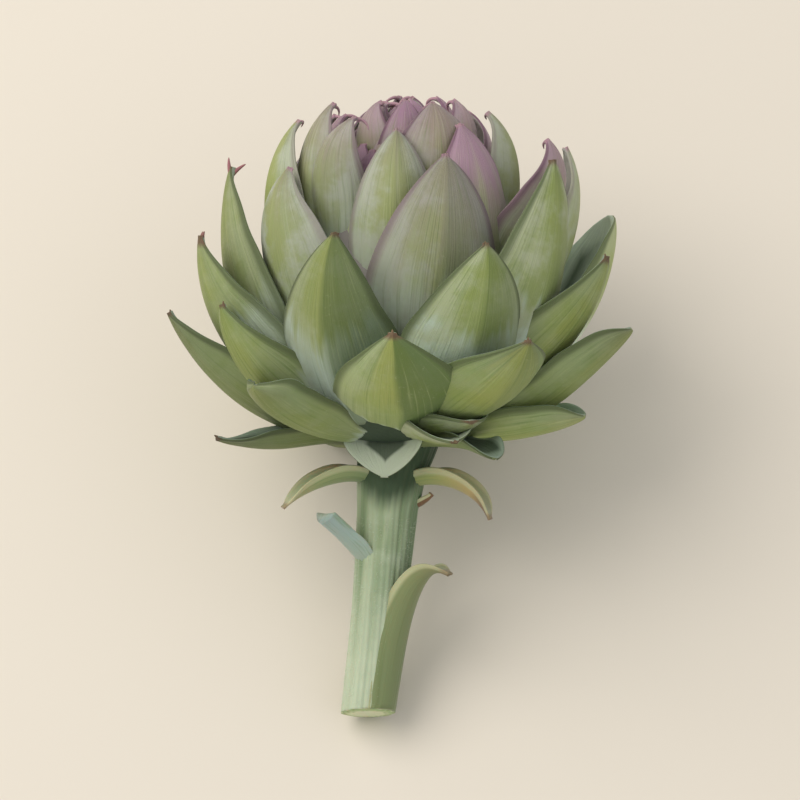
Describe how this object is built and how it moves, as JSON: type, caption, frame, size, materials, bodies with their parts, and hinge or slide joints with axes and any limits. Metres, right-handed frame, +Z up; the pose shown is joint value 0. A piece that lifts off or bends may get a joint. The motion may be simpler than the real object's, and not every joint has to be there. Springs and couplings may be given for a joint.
{
  "type": "artichoke",
  "caption": "Globe artichoke, green with a purple-tinged crown, picked with a short length of its leafy ribbed stem and laid on its side.",
  "frame": {"origin": "on the standing surface, below the middle of the bounding box", "axes": "+Z up from the surface it lies on, +Y from the cut end of the stem towards the head, +X to the right seen from the stem"},
  "size_m": [0.1188, 0.151, 0.1035],
  "materials": {
    "outer_bracts": "waxy matt bract skin, olive green with fine lengthwise veins",
    "heart_bracts": "waxy matt bract skin, grey green going to mauve at the tips",
    "stem": "downy ribbed stem, pale grey green"
  },
  "bodies": {
    "root": {"outer_bracts": "outer_bracts", "heart_bracts": "heart_bracts", "stem": "stem"}
  },
  "joints": []
}
